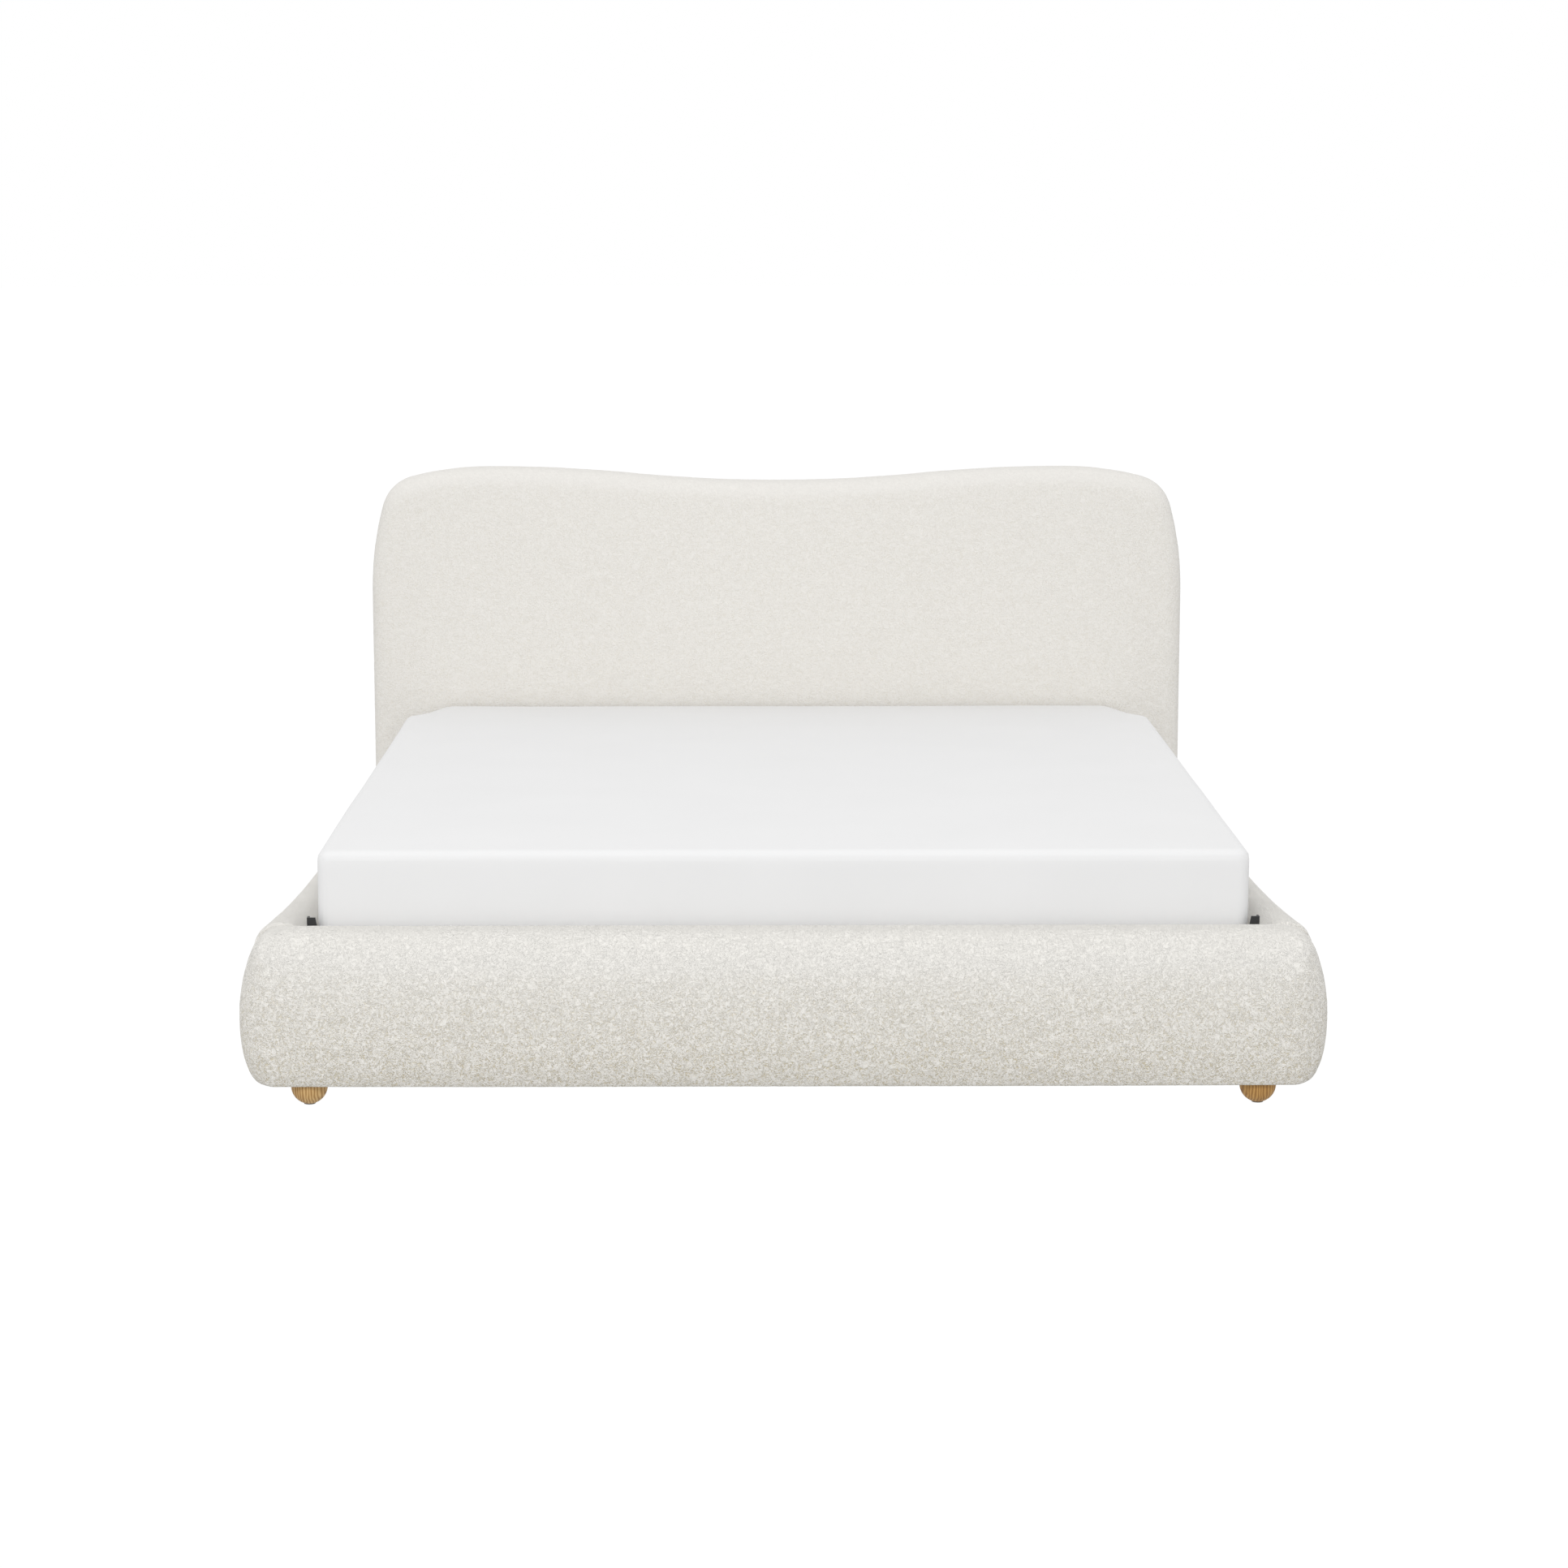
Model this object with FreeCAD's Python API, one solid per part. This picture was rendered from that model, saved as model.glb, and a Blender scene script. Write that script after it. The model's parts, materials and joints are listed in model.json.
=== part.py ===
import FreeCAD, Part
import math
import os

# Upholstered headboard bed for an 1800 x 2000 mattress, in millimetres.
# +Z is up and +Y runs towards the headboard. The origin is on the floor under the middle of the bed.

Vector = FreeCAD.Vector

# ---- driving dimensions -------------------------------------------------------------------------
FLOOR_GAP = 42.0  # underside of the upholstery above the floor
COVER = 3.0  # thickness of the woven cover with its backing
CLEARANCE = 0.2  # between the mattress and the slats that carry it

MATTRESS_WIDTH = 1800.0
MATTRESS_LENGTH = 2000.0
MATTRESS_FRONT = -990.0
MATTRESS_TOP = 475.0
MATTRESS_CORNER = 60.0
MATTRESS_EDGE = 32.0
MATTRESS_COVER = 4.0

HEADBOARD_FRONT = 1020.0
HEADBOARD_BACK = 1160.0
HEADBOARD_HALF = 1000.0
HEADBOARD_DIP = 1020.4  # height of the top edge on the centre line
CREST_X = 708.0
CREST_RISE = 34.1  # crests above the dip
SHOULDER_RADIUS = 800.0
SHOULDER_TURN = 14.25
CORNER_RADIUS = 90.0
CORNER_TURN = 59.75
FRONT_ROLL = 50.0
BACK_ROLL = 22.0
HEADBOARD_FOAM = 48.0
EDGE_FOAM = 30.0  # cover and foam together, round the rim of the frame
PANEL_THICKNESS = 12.0
LOWER_BOARD_HALF = 940.0
LOWER_BOARD_TOP = 340.0
BACK_MARGIN = 35.0  # turned edge of the cover round the back cloth
POST_INNER = 880.0
TOP_RAIL_LOW = 870.0
CROSS_RAIL_HEIGHT = 70.0
MIDDLE_RAIL_LOW = 480.0

FOOTBOARD_FRONT = -1160.0
FOOTBOARD_BACK = -1000.0
FOOTBOARD_HALF = 1041.0
FOOTBOARD_TOP = 335.0
BELLY_HEIGHT = 172.0  # height at which the padding is fullest
END_TUCK = 31.0  # bottom corner of each end inside its belly
END_LEAN = 28.0  # top of each end's side inside its belly
END_ROLL = 34.0  # height and width of the small roll at the top of each end
FRONT_TUCK = 24.0  # bottom edge of the front inside its belly
FRONT_LEAN = 8.0  # foot of the top roll inside the belly
FOOT_ROLL_HEIGHT = 90.0
FOOT_ROLL_DEPTH = 77.0
BACK_EDGE = 22.0  # radius of the top edge that faces the mattress
FOOTBOARD_BOARD_HALF = 985.0
FOOTBOARD_BOARD_TOP = 300.0
FOOTBOARD_BASE_FRONT = -1125.0
BASE_THICKNESS = 18.0
PLAN_CORNER = 95.0

RAIL_INNER = 918.0
# along the bed: place, height of the roll, half-width at the belly
RAIL_SECTIONS = (
    (FOOTBOARD_BACK, 335.0, 1036.0),
    (-750.0, 322.0, 1022.0),
    (-400.0, 311.0, 1011.0),
    (HEADBOARD_FRONT, 305.0, 1002.0),
)
ROLL_SETBACK = 5.0  # the roll's outer edge inside the belly
RAIL_TUCK = 22.0  # the bottom edge inside the belly
RAIL_BOARD_TOP = 250.0
BOARD_THICKNESS = 22.0

SLAT_COUNT = 14
SLAT_WIDTH = 90.0
SLAT_THICKNESS = 20.0
SLAT_HALF = 912.0
SLAT_TOP = 255.0
FIRST_SLAT = -880.0
LAST_SLAT = 900.0
LEDGE_THICKNESS = 25.0
LEDGE_HEIGHT = 40.0
LEDGE_FRONT = -935.0
LEDGE_BACK = 955.0

BEAM_WIDTH = 50.0
BEAM_HEIGHT = 40.0
STEEL = 4.0  # plate of the corner brackets and beam hangers
HANGER_REACH = 45.0
HANGER_FLANGE = 45.0
HANGER_RISE = 8.0

BRACKET_LOW = 150.0
BRACKET_SHOULDER = 290.0
BRACKET_NECK = 318.0
BRACKET_TOP = 345.0
BRACKET_REACH = 60.0
BRACKET_NECK_REACH = 21.0
BRACKET_TIP_REACH = 16.0
BRACKET_BOLT_HEIGHTS = (180.0, 230.0)
BRACKET_BOLT_REACH = 40.0

BOLT_RADIUS = 3.0
BOLT_LENGTH = 25.0
BOLT_HEAD_RADIUS = 6.0
BOLT_HEAD = 3.2
SCREW_RADIUS = 2.0
SCREW_LENGTH = 40.0
SCREW_HEAD_RADIUS = 4.0
SCREW_HEAD = 2.0
SLAT_SCREW_X = 903.0
LEDGE_SCREW_COUNT = 6
LEDGE_SCREW_INSET = 60.0

FOOT_RADIUS = 35.0
FOOT_X = 909.0
FRONT_FOOT_Y = -1085.0
REAR_FOOT_Y = 1118.0
GLIDE_THICKNESS = 2.0
GLIDE_RADIUS = 11.0
STUD_RADIUS = 4.0
STUD_HALF_LENGTH = 16.0

LEG_PLACES = (-340.0, 340.0)
LEG_HALF = 22.5
LEG_LOW = 28.0
LEG_BORE_TOP = 80.0
RUNNING_GAP = 0.05
PAD_RADIUS = 20.0
PAD_HEIGHT = 9.0
PAD_RIM = 4.0
PIVOT_RADIUS = 3.0
PIVOT_DEPTH = 4.0
COLLAR_RADIUS = 7.5
COLLAR_HEIGHT = 5.0
LEVELLER_TOP = 65.0

NEAR = 0.5  # how close an edge lies to a plane when it is picked for rounding
HALFWAY = 1 - math.sqrt(0.5)  # how far into its corner a quarter round's middle lies, per radius

# ---- derived places -----------------------------------------------------------------------------
LEDGE_TOP = SLAT_TOP - SLAT_THICKNESS
MATTRESS_BACK = MATTRESS_FRONT + MATTRESS_LENGTH
COVERED_LOW = FLOOR_GAP + COVER
PANEL_FRONT = HEADBOARD_FRONT + COVER + HEADBOARD_FOAM
PANEL_BACK = PANEL_FRONT + PANEL_THICKNESS
FRAME_BACK = HEADBOARD_BACK - COVER
BEAM_LOW = LEDGE_TOP - BEAM_HEIGHT


# ---- helpers ------------------------------------------------------------------------------------
def box(x, y, z):
    """A box from the (low, high) pairs of its three sides."""
    return Part.makeBox(x[1] - x[0], y[1] - y[0], z[1] - z[0], Vector(x[0], y[0], z[0]))


def rod(radius, start, end):
    """A cylinder between two points."""
    return Part.makeCylinder(radius, (end - start).Length, start, end - start)


def mirrored(shape):
    """The same shape on the other side of the bed."""
    return shape.mirror(Vector(0, 0, 0), Vector(1, 0, 0))


def without(shape, tools):
    """The shape less every tool, as one clean solid."""
    return shape.cut(tools).removeSplitter().Solids[0]


def save(name, shape):
    """Write one sub-part and say how large it is."""
    shape.exportStep("parts/" + name + ".step")
    bounds = shape.BoundBox
    litres = shape.Volume / 1e6
    print(f"{name:24s} solids {len(shape.Solids):3d} valid {shape.isValid()} litres {litres:8.3f}",
          f"z {bounds.ZMin:7.1f} {bounds.ZMax:7.1f}")


def outline(place, start, steps):
    """A closed face from straight steps (a, b) and arcs (via a, via b, a, b), placed by place(a, b)."""
    edges = []
    here = place(*start)
    for step in steps:
        there = place(*step[-2:])
        if len(step) == 2:
            edges.append(Part.makeLine(here, there))
        else:
            edges.append(Part.Arc(here, place(*step[:2]), there).toShape())
        here = there
    return Part.Face(Part.Wire(edges))


def on_xz(y):
    return lambda a, b: Vector(a, y, b)


def on_yz(x):
    return lambda a, b: Vector(x, a, b)


def on_xy(z):
    return lambda a, b: Vector(a, b, z)


def rounded(solid, radius, y):
    """Round the edges that lie in the upright plane at y, apart from the one underneath."""
    floor = solid.BoundBox.ZMin + NEAR
    edges = [edge for edge in solid.Edges if edge.BoundBox.ZMax > floor
             and abs(edge.BoundBox.YMin - y) < NEAR and abs(edge.BoundBox.YMax - y) < NEAR]
    return solid.makeFillet(radius, edges)


# ---- fasteners ----------------------------------------------------------------------------------
def bolt(at, direction):
    """Button-head bolt: its head stands on the plate at this point, and its shank runs along direction."""
    head = rod(BOLT_HEAD_RADIUS, at - direction * BOLT_HEAD, at)
    return head.fuse(rod(BOLT_RADIUS, at, at + direction * BOLT_LENGTH)).removeSplitter().Solids[0]


def screw(at, direction):
    """Countersunk wood screw with its head flush at this point."""
    head = rod(SCREW_HEAD_RADIUS, at, at + direction * SCREW_HEAD)
    shank = rod(SCREW_RADIUS, at, at + direction * SCREW_LENGTH)
    return head.fuse(shank).removeSplitter().Solids[0]


def dowel_stud(x, y, z):
    """Headless stud that joins a foot or a leg to the timber above it."""
    return rod(STUD_RADIUS, Vector(x, y, z - STUD_HALF_LENGTH), Vector(x, y, z + STUD_HALF_LENGTH))


def corner_bolts():
    """Two bolts through each leg of the right-hand brackets, and their mirror images."""
    bolts = []
    for height in BRACKET_BOLT_HEIGHTS:
        for wall, inward in ((FOOTBOARD_BACK, 1), (HEADBOARD_FRONT, -1)):
            along = wall + inward * BRACKET_BOLT_REACH
            bolts.append(bolt(Vector(RAIL_INNER - STEEL, along, height), Vector(1, 0, 0)))
            face = Vector(RAIL_INNER - BRACKET_BOLT_REACH, wall + inward * STEEL, height)
            bolts.append(bolt(face, Vector(0, -inward, 0)))
    return bolts + [mirrored(one) for one in bolts]


def hanger_bolts():
    """One bolt through each flange of the two beam hangers."""
    bolts = []
    place = (HANGER_FLANGE + BEAM_WIDTH / 2 + STEEL) / 2
    for wall, inward in ((FOOTBOARD_BACK, 1), (HEADBOARD_FRONT, -1)):
        for x in (-place, place):
            at = Vector(x, wall + inward * STEEL, BEAM_LOW + BEAM_HEIGHT / 2)
            bolts.append(bolt(at, Vector(0, -inward, 0)))
    return bolts


def slat_places():
    pitch = (LAST_SLAT - FIRST_SLAT) / (SLAT_COUNT - 1)
    return [FIRST_SLAT + pitch * index for index in range(SLAT_COUNT)]


def wood_screws():
    """Screws down through the slats, and outwards through the ledges."""
    screws = [screw(Vector(x, y, SLAT_TOP), Vector(0, 0, -1))
              for y in slat_places() for x in (-SLAT_SCREW_X, 0.0, SLAT_SCREW_X)]
    pitch = (LEDGE_BACK - LEDGE_FRONT - 2 * LEDGE_SCREW_INSET) / (LEDGE_SCREW_COUNT - 1)
    for index in range(LEDGE_SCREW_COUNT):
        y = LEDGE_FRONT + LEDGE_SCREW_INSET + pitch * index
        z = LEDGE_TOP - LEDGE_HEIGHT / 2
        for side in (-1, 1):
            screws.append(screw(Vector(side * (RAIL_INNER - LEDGE_THICKNESS), y, z), Vector(side, 0, 0)))
    return screws


def dowel_studs():
    """Studs of the four feet and of the two legs under the centre beam."""
    feet = [dowel_stud(side * FOOT_X, y, FLOOR_GAP) for side in (-1, 1) for y in (FRONT_FOOT_Y, REAR_FOOT_Y)]
    return feet + [dowel_stud(0, y, BEAM_LOW) for y in LEG_PLACES]


# ---- headboard ----------------------------------------------------------------------------------
def tangent_arcs(start, arcs):
    """Arcs that run smoothly on from a level start; each is (radius, turn in degrees, left positive)."""
    def left_of(angle):
        return Vector(-math.sin(angle), 0, math.cos(angle))

    edges = []
    here = start
    heading = 0.0
    for radius, turn in arcs:
        arm = math.copysign(radius, turn)
        centre = here + left_of(heading) * arm
        middle = centre - left_of(heading + math.radians(turn) / 2) * arm
        heading += math.radians(turn)
        there = centre - left_of(heading) * arm
        edges.append(Part.Arc(here, middle, there).toShape())
        here = there
    return edges, here


def headboard_face():
    """Front view of the headboard: a shallow dip between two crests, with rounded shoulders."""
    wave_radius = ((CREST_X / 2) ** 2 + (CREST_RISE / 2) ** 2) / CREST_RISE
    wave_turn = math.degrees(math.asin(CREST_X / 2 / wave_radius))
    reached = CREST_X + SHOULDER_RADIUS * math.sin(math.radians(SHOULDER_TURN))
    steep = math.radians(SHOULDER_TURN + CORNER_TURN)
    reached += CORNER_RADIUS * (math.sin(steep) - math.sin(math.radians(SHOULDER_TURN)))
    flank_radius = (HEADBOARD_HALF - reached) / (1 - math.sin(steep))
    arcs = (
        (wave_radius, wave_turn),
        (wave_radius, -wave_turn),
        (SHOULDER_RADIUS, -SHOULDER_TURN),
        (CORNER_RADIUS, -CORNER_TURN),
        (flank_radius, -(90 - SHOULDER_TURN - CORNER_TURN)),
    )
    edges, end = tangent_arcs(Vector(0, 0, HEADBOARD_DIP), arcs)
    low = Vector(end.x, 0, FLOOR_GAP)
    edges.append(Part.makeLine(end, low))
    edges += [mirrored(edge) for edge in edges]
    edges.append(Part.makeLine(low, Vector(-low.x, 0, low.z)))
    return Part.Face(Part.Wire(Part.sortEdges(edges)[0]))


def headboard_prism(inset, front, back):
    """The front view drawn in by inset, and made solid between two planes."""
    face = headboard_face()
    if inset:
        face = face.makeOffset2D(-inset)
    face.translate(Vector(0, front, 0))
    return face.extrude(Vector(0, back - front, 0)).Solids[0]


def headboard_pad(inset):
    """The padded outer form of the headboard, drawn in by inset all round."""
    front = HEADBOARD_FRONT + inset
    back = HEADBOARD_BACK - inset
    solid = headboard_prism(inset, front, back)
    solid = rounded(solid, FRONT_ROLL - inset, front)
    return rounded(solid, BACK_ROLL - inset, back).Solids[0]


def headboard_parts(bolts, studs):
    """Timber frame, panel, foam and cover of the headboard."""
    outer = headboard_pad(0)
    filled = headboard_pad(COVER)
    base_half = HEADBOARD_HALF - EDGE_FOAM
    foot_zone = box((-base_half, base_half), (PANEL_FRONT, FRAME_BACK), (COVERED_LOW, LOWER_BOARD_TOP))
    core = headboard_prism(EDGE_FOAM, PANEL_FRONT, FRAME_BACK).fuse(foot_zone).removeSplitter()
    lower_board = box((-LOWER_BOARD_HALF, LOWER_BOARD_HALF), (HEADBOARD_FRONT + COVER, PANEL_FRONT),
                      (COVERED_LOW, LOWER_BOARD_TOP))
    cloth = headboard_prism(BACK_MARGIN, FRAME_BACK, HEADBOARD_BACK)

    def timber(x, z):
        blank = box(x, (PANEL_BACK, FRAME_BACK), z)
        return without(blank.common(core), studs)

    whole_depth = (PANEL_FRONT, PANEL_BACK)
    panel_blank = box((-HEADBOARD_HALF, HEADBOARD_HALF), whole_depth, (0, HEADBOARD_DIP + CREST_RISE))
    rails = (-POST_INNER, POST_INNER)
    yield "headboard_cover", without(outer, [filled, cloth] + bolts + studs)
    yield "headboard_foam", without(filled, [core, lower_board] + bolts + studs)
    yield "headboard_panel", without(panel_blank.common(core), bolts)
    yield "headboard_lower_board", without(lower_board, bolts)
    yield "headboard_right_post", timber((POST_INNER, HEADBOARD_HALF), (COVERED_LOW, TOP_RAIL_LOW))
    yield "headboard_left_post", timber((-HEADBOARD_HALF, -POST_INNER), (COVERED_LOW, TOP_RAIL_LOW))
    yield "headboard_bottom_rail", timber(rails, (COVERED_LOW, COVERED_LOW + CROSS_RAIL_HEIGHT))
    yield "headboard_middle_rail", timber(rails, (MIDDLE_RAIL_LOW, MIDDLE_RAIL_LOW + CROSS_RAIL_HEIGHT))
    yield "headboard_top_rail", timber((-HEADBOARD_HALF, HEADBOARD_HALF),
                                       (TOP_RAIL_LOW, HEADBOARD_DIP + CREST_RISE))
    yield "headboard_back_cloth", cloth


# ---- footboard ----------------------------------------------------------------------------------
def footboard_pad(inset):
    """The fat, low footboard: fullest at its belly, with a rolled top and rounded ends."""
    half = FOOTBOARD_HALF - inset
    front = FOOTBOARD_FRONT + inset
    back = FOOTBOARD_BACK - inset
    low = FLOOR_GAP + inset
    high = FOOTBOARD_TOP - inset
    side = half - END_LEAN
    ends = outline(on_xz(front - PLAN_CORNER), (half - END_TUCK, low), (
        (half, BELLY_HEIGHT, side, high - END_ROLL),
        (side - END_ROLL * HALFWAY, high - END_ROLL * HALFWAY, side - END_ROLL, high),
        (END_ROLL - side, high),
        (END_ROLL * HALFWAY - side, high - END_ROLL * HALFWAY, -side, high - END_ROLL),
        (-half, BELLY_HEIGHT, END_TUCK - half, low),
        (half - END_TUCK, low),
    ))
    roll = front + FRONT_LEAN
    profile = outline(on_yz(-half - PLAN_CORNER), (back, low), (
        (back, high - BACK_EDGE),
        (back - BACK_EDGE * HALFWAY, high - BACK_EDGE * HALFWAY, back - BACK_EDGE, high),
        (roll + FOOT_ROLL_DEPTH, high),
        (roll + FOOT_ROLL_DEPTH * HALFWAY, high - FOOT_ROLL_HEIGHT * HALFWAY, roll, high - FOOT_ROLL_HEIGHT),
        (front, BELLY_HEIGHT, front + FRONT_TUCK, low),
        (back, low),
    ))
    wide = half + NEAR
    nose = front - NEAR
    turn = PLAN_CORNER * HALFWAY
    plan = outline(on_xy(0), (wide, back), (
        (wide, nose + PLAN_CORNER),
        (wide - turn, nose + turn, wide - PLAN_CORNER, nose),
        (PLAN_CORNER - wide, nose),
        (turn - wide, nose + turn, -wide, nose + PLAN_CORNER),
        (-wide, back),
        (wide, back),
    ))
    long_way = profile.extrude(Vector(2 * (half + PLAN_CORNER), 0, 0))
    through = ends.extrude(Vector(0, 2 * PLAN_CORNER + back - front, 0))
    upright = plan.extrude(Vector(0, 0, 2 * FOOTBOARD_TOP))
    return long_way.common(through).common(upright).Solids[0]


def footboard_parts(bolts, studs):
    """Timber board and base, foam and cover of the footboard."""
    inner_face = FOOTBOARD_BACK - COVER
    half = FOOTBOARD_BOARD_HALF
    outer = footboard_pad(0)
    filled = footboard_pad(COVER)
    base_top = COVERED_LOW + BASE_THICKNESS
    base = box((-half, half), (FOOTBOARD_BASE_FRONT, inner_face), (COVERED_LOW, base_top))
    board = box((-half, half), (inner_face - BOARD_THICKNESS, inner_face), (base_top, FOOTBOARD_BOARD_TOP))
    yield "footboard_cover", without(outer, [filled] + bolts + studs)
    yield "footboard_foam", without(filled, [base, board] + bolts + studs)
    yield "footboard_base", without(base, studs)
    yield "footboard_board", without(board, bolts)


# ---- side rails ---------------------------------------------------------------------------------
def rail_section(y, top, belly, inset):
    """Cross-section of the right rail: flat inside, a half-round roll on top, full on the outside."""
    inner = RAIL_INNER + inset
    outer = belly - inset
    low = FLOOR_GAP + inset
    high = top - inset
    roll = (outer - ROLL_SETBACK - inner) / 2
    face = outline(on_xz(y), (inner, low), (
        (inner, high - roll),
        (inner + roll, high, inner + 2 * roll, high - roll),
        (outer, BELLY_HEIGHT, outer - RAIL_TUCK, low),
        (inner, low),
    ))
    return face.OuterWire


def rail_pad(inset):
    sections = [rail_section(y, top, belly, inset) for y, top, belly in RAIL_SECTIONS]
    return Part.makeLoft(sections, True, True).Solids[0]


def rail_parts(fasteners):
    """Board, foam, cover and slat ledge of the right-hand rail."""
    span = (FOOTBOARD_BACK, HEADBOARD_FRONT)
    board_inner = RAIL_INNER + COVER
    board = box((board_inner, board_inner + BOARD_THICKNESS), span, (COVERED_LOW, RAIL_BOARD_TOP))
    ledge = box((RAIL_INNER - LEDGE_THICKNESS, RAIL_INNER), (LEDGE_FRONT, LEDGE_BACK),
                (LEDGE_TOP - LEDGE_HEIGHT, LEDGE_TOP))
    filled = rail_pad(COVER)
    yield "rail_cover", without(rail_pad(0), [filled] + fasteners)
    yield "rail_foam", without(filled, [board])
    yield "rail_board", without(board, fasteners)
    yield "slat_ledge", without(ledge, fasteners)


# ---- steel fittings -----------------------------------------------------------------------------
def bracket_leg(place, sheet):
    """One leg of a corner bracket: tall, with a narrow tab at the top. place maps reach and height."""
    face = outline(place, (0, BRACKET_LOW), (
        (BRACKET_REACH, BRACKET_LOW),
        (BRACKET_REACH, BRACKET_SHOULDER),
        (BRACKET_NECK_REACH, BRACKET_NECK),
        (BRACKET_TIP_REACH, BRACKET_TOP),
        (0, BRACKET_TOP),
        (0, BRACKET_LOW),
    ))
    return face.extrude(sheet)


def corner_bracket(wall, inward, bolts):
    """Steel angle in a right-hand corner, against the rail and the board at wall."""
    on_rail = bracket_leg(lambda a, b: Vector(RAIL_INNER, wall + inward * a, b), Vector(-STEEL, 0, 0))
    on_board = bracket_leg(lambda a, b: Vector(RAIL_INNER - a, wall, b), Vector(0, inward * STEEL, 0))
    return without(on_rail.fuse(on_board), bolts)


def beam_hanger(wall, inward, bolts):
    """Steel stirrup that carries one end of the centre beam."""
    half = BEAM_WIDTH / 2
    reach = sorted((wall, wall + inward * HANGER_REACH))
    sheet = sorted((wall, wall + inward * STEEL))
    plate = box((-HANGER_FLANGE, HANGER_FLANGE), sheet, (BEAM_LOW - STEEL, LEDGE_TOP + HANGER_RISE))
    stirrup = box((-half - STEEL, half + STEEL), reach, (BEAM_LOW - STEEL, LEDGE_TOP))
    seat = box((-half, half), sorted((wall + inward * STEEL, wall + 2 * inward * HANGER_REACH)),
               (BEAM_LOW, SLAT_TOP))
    return without(plate.fuse(stirrup), [seat] + bolts)


# ---- slats and centre support -------------------------------------------------------------------
def slat(y, screws):
    blank = box((-SLAT_HALF, SLAT_HALF), (y - SLAT_WIDTH / 2, y + SLAT_WIDTH / 2), (LEDGE_TOP, SLAT_TOP))
    return without(blank, screws)


def centre_beam(fasteners):
    blank = box((-BEAM_WIDTH / 2, BEAM_WIDTH / 2), (FOOTBOARD_BACK + STEEL, HEADBOARD_FRONT - STEEL),
                (BEAM_LOW, LEDGE_TOP))
    return without(blank, fasteners)


def support_leg(y, studs):
    """Square timber leg under the centre beam, bored for its leveller."""
    blank = box((-LEG_HALF, LEG_HALF), (y - LEG_HALF, y + LEG_HALF), (LEG_LOW, BEAM_LOW))
    bore = rod(STUD_RADIUS + RUNNING_GAP, Vector(0, y, LEG_LOW), Vector(0, y, LEG_BORE_TOP))
    return without(blank, [bore] + studs)


def leveller_pad(y):
    """Round pad on the floor, with a socket for the screw's pivot."""
    rim = rod(PAD_RADIUS, Vector(0, y, 0), Vector(0, y, PAD_RIM))
    dome = Part.makeCone(PAD_RADIUS, COLLAR_RADIUS, PAD_HEIGHT - PAD_RIM, Vector(0, y, PAD_RIM))
    floor = Vector(0, y, PAD_HEIGHT - PIVOT_DEPTH)
    socket = rod(PIVOT_RADIUS + RUNNING_GAP, floor, Vector(0, y, PAD_HEIGHT))
    return without(rim.fuse(dome), [socket])


def leveller_screw(y):
    """Levelling screw: a pivot in the pad, a collar to turn it by, and a shank up into the leg."""
    collar_low = PAD_HEIGHT + RUNNING_GAP
    collar_high = collar_low + COLLAR_HEIGHT
    pivot_low = PAD_HEIGHT - PIVOT_DEPTH + RUNNING_GAP
    pivot = rod(PIVOT_RADIUS, Vector(0, y, pivot_low), Vector(0, y, collar_low))
    collar = rod(COLLAR_RADIUS, Vector(0, y, collar_low), Vector(0, y, collar_high))
    shank = rod(STUD_RADIUS, Vector(0, y, collar_high), Vector(0, y, LEVELLER_TOP))
    return pivot.fuse([collar, shank]).removeSplitter().Solids[0]


def ball_foot(x, y, studs):
    """Turned ball foot, cut flat under the bed and where its felt glide sits."""
    ball = Part.makeSphere(FOOT_RADIUS, Vector(x, y, FOOT_RADIUS))
    band = box((x - FOOT_RADIUS, x + FOOT_RADIUS), (y - FOOT_RADIUS, y + FOOT_RADIUS),
               (GLIDE_THICKNESS, FLOOR_GAP))
    return without(ball.common(band), studs)


# ---- mattress -----------------------------------------------------------------------------------
def mattress_block(inset):
    """The mattress drawn in by inset, with rounded corners and softened edges."""
    half = MATTRESS_WIDTH / 2 - inset
    block = box((-half, half), (MATTRESS_FRONT + inset, MATTRESS_BACK - inset),
                (SLAT_TOP + CLEARANCE + inset, MATTRESS_TOP - inset))
    upright = [edge for edge in block.Edges if edge.BoundBox.ZLength > NEAR]
    block = block.makeFillet(MATTRESS_CORNER - inset, upright)
    level = [edge for edge in block.Edges if edge.BoundBox.ZLength < NEAR]
    return block.makeFillet(MATTRESS_EDGE - inset, level).Solids[0]


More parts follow.
